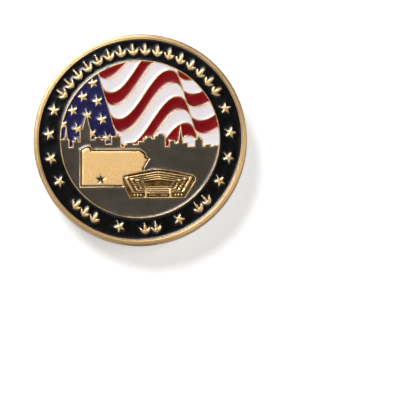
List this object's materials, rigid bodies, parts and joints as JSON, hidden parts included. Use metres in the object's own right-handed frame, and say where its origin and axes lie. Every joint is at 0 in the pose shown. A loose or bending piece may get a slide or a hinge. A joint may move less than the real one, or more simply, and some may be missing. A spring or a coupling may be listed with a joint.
{
  "type": "challenge coin",
  "caption": "Round die-struck metal coin with a raised rim, relief on both faces and coloured enamel fills set below the metal lines.",
  "frame": {"origin": "centre of the coin", "axes": "+Z towards the top of both designs; -Y out of the obverse and +Y out of the reverse, along the coin's axis; +X to the right as the obverse is seen"},
  "size_m": [0.0445, 0.003, 0.0444],
  "materials": {
    "antique_gold": "antique gold plate on brass, bright on the raised lines and dark in the recesses",
    "enamel_black": "glossy black enamel",
    "enamel_blue": "glossy dark blue enamel",
    "enamel_red": "glossy deep red enamel",
    "enamel_white": "glossy white enamel",
    "enamel_grey": "satin grey-brown enamel",
    "enamel_umber": "satin dark brown enamel",
    "enamel_navy": "glossy navy enamel",
    "enamel_teal": "glossy teal enamel",
    "enamel_brown": "satin brown enamel",
    "enamel_maroon": "glossy dark maroon enamel",
    "enamel_green": "glossy dark green enamel",
    "enamel_cream": "glossy cream enamel"
  },
  "bodies": {
    "root": {"coin_body": "antique_gold", "obv_border_black": "enamel_black", "obv_canton_blue": "enamel_blue", "obv_red_stripes": "enamel_red", "obv_white_stripes": "enamel_white", "obv_city_grey": "enamel_grey", "obv_plaque_moat": "enamel_umber", "obv_plaque_star": "enamel_umber", "rev_border_black": "enamel_black", "rev_ocean_navy": "enamel_navy", "rev_land_teal": "enamel_teal", "rev_feather_brown": "enamel_brown", "rev_wing_maroon": "enamel_maroon", "rev_shield_chief": "enamel_navy", "rev_shield_red": "enamel_red", "rev_shield_white": "enamel_white", "rev_star_white": "enamel_white", "rev_laurel_green": "enamel_green", "rev_fan_cream": "enamel_cream"}
  },
  "joints": []
}
